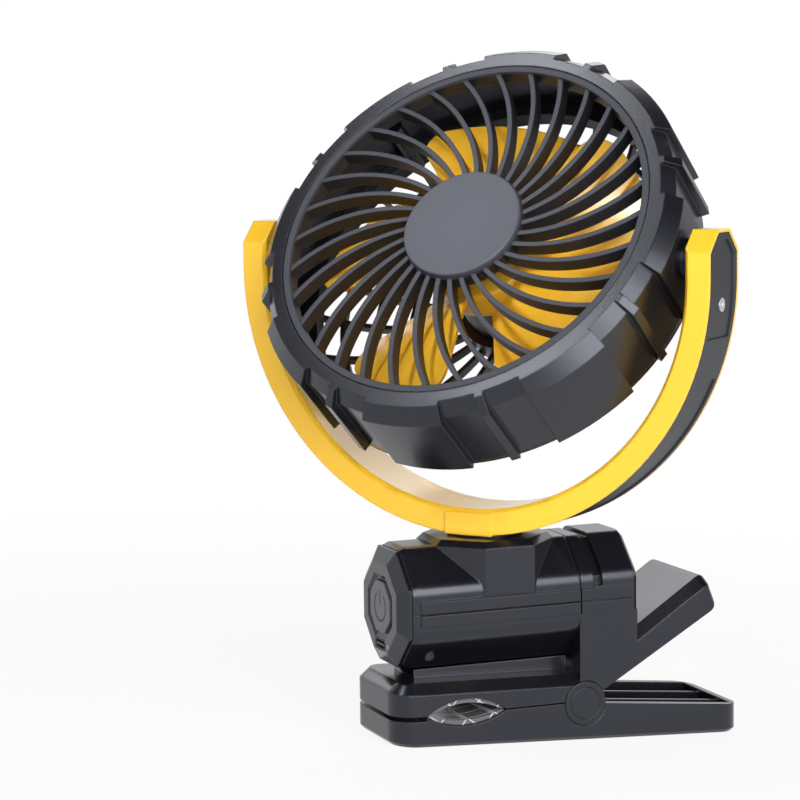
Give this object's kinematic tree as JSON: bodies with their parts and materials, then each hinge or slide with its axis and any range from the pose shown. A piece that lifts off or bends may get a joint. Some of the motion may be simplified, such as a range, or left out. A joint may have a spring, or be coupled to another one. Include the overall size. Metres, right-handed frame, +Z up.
{
  "type": "clip-on car fan",
  "caption": "Battery fan with a tread-rimmed round head tilting in a U-shaped yoke that swivels on an octagonal housing with a spring clip",
  "frame": {"origin": "On the flat underside of the lower clip, straight below the crossing of the housing axis and the swivel axis at rest.", "axes": "+Z up from the table. -Y towards the button and the front of the clip's jaws. +X along the clip's hinge pin, towards its head."},
  "size_m": [0.1466, 0.1568, 0.2241],
  "materials": {
    "black_plastic": "fine moulded texture, slight sheen",
    "grey_cap": "fine grain",
    "yellow_plastic": "smooth moulded plastic",
    "amber_clear": "see-through amber plastic",
    "clear_pad": "see-through soft plastic with a fine grid",
    "steel": "plain zinc-plated steel",
    "nylon_washer": "natural nylon",
    "bronze_bush": "sintered bronze",
    "ferrite": "ferrite magnet",
    "rotor_iron": "laminated core with its winding",
    "board_green": "solder mask",
    "switch_black": "moulded switch body",
    "cell_wrap": "film-wrapped cell",
    "light_lens": "clear light pipe",
    "lead_jacket": "soft lead jacket"
  },
  "bodies": {
    "base": {"housing_upper": "black_plastic", "housing_lower": "black_plastic", "housing_screws": "steel", "rear_cover": "black_plastic", "front_cap": "black_plastic", "circuit_board": "board_green", "tact_switch": "switch_black", "usb_socket": "steel", "charge_light": "light_lens", "battery_cells": "cell_wrap", "upper_clip": "black_plastic", "upper_pad": "clear_pad"},
    "button": {"power_button": "black_plastic"},
    "lower_jaw": {"lower_clip": "black_plastic", "lower_pad": "clear_pad", "hinge_pin": "steel", "hinge_cap": "black_plastic", "torsion_spring": "steel"},
    "yoke": {"yoke_frame": "yellow_plastic", "yoke_cover_left": "black_plastic", "yoke_cover_right": "black_plastic", "yoke_screws": "steel", "motor_lead": "lead_jacket", "swivel_bolt": "steel", "swivel_disc": "black_plastic", "swivel_washer": "steel", "swivel_nut": "steel"},
    "head": {"front_frame": "black_plastic", "front_grille": "black_plastic", "grille_cap": "grey_cap", "rear_grille": "black_plastic", "frame_screws": "steel", "tilt_screws": "steel", "tilt_washers": "nylon_washer", "motor_case": "steel", "motor_end_plate": "steel", "motor_magnets": "ferrite", "motor_bushes": "bronze_bush", "motor_screws": "steel"},
    "rotor": {"impeller": "amber_clear", "motor_rotor": "rotor_iron", "impeller_nut": "steel"}
  },
  "joints": [
    {"name": "clip_open", "type": "hinge", "parent": "base", "child": "lower_jaw", "pos_m": [0, 0.02869, 0.0123], "axis": [1, 0, 0], "range_deg": [0, 30], "stiffness_Nm_per_rad": 0.5, "springref_deg": -34.38, "deforming": ["torsion_spring"]},
    {"name": "button_press", "type": "slide", "parent": "base", "child": "button", "axis": [0, 0.9985, 0.0541], "range_m": [0, 0.0006], "stiffness_N_per_m": 400, "springref_m": -0.002},
    {"name": "yoke_swivel", "type": "hinge", "parent": "base", "child": "yoke", "pos_m": [0, 0, 0.0447], "axis": [0, -0.0541, 0.9985], "range_deg": [-208, 131]},
    {"name": "head_tilt", "type": "hinge", "parent": "yoke", "child": "head", "pos_m": [0, -0.0061, 0.15734], "axis": [0.7837, 0.6202, 0.0336], "range_deg": [-52, 128]},
    {"name": "fan_spin", "type": "hinge", "parent": "head", "child": "rotor", "pos_m": [0, -0.0061, 0.15734], "axis": [0.4901, -0.6507, 0.5799], "continuous": true}
  ]
}
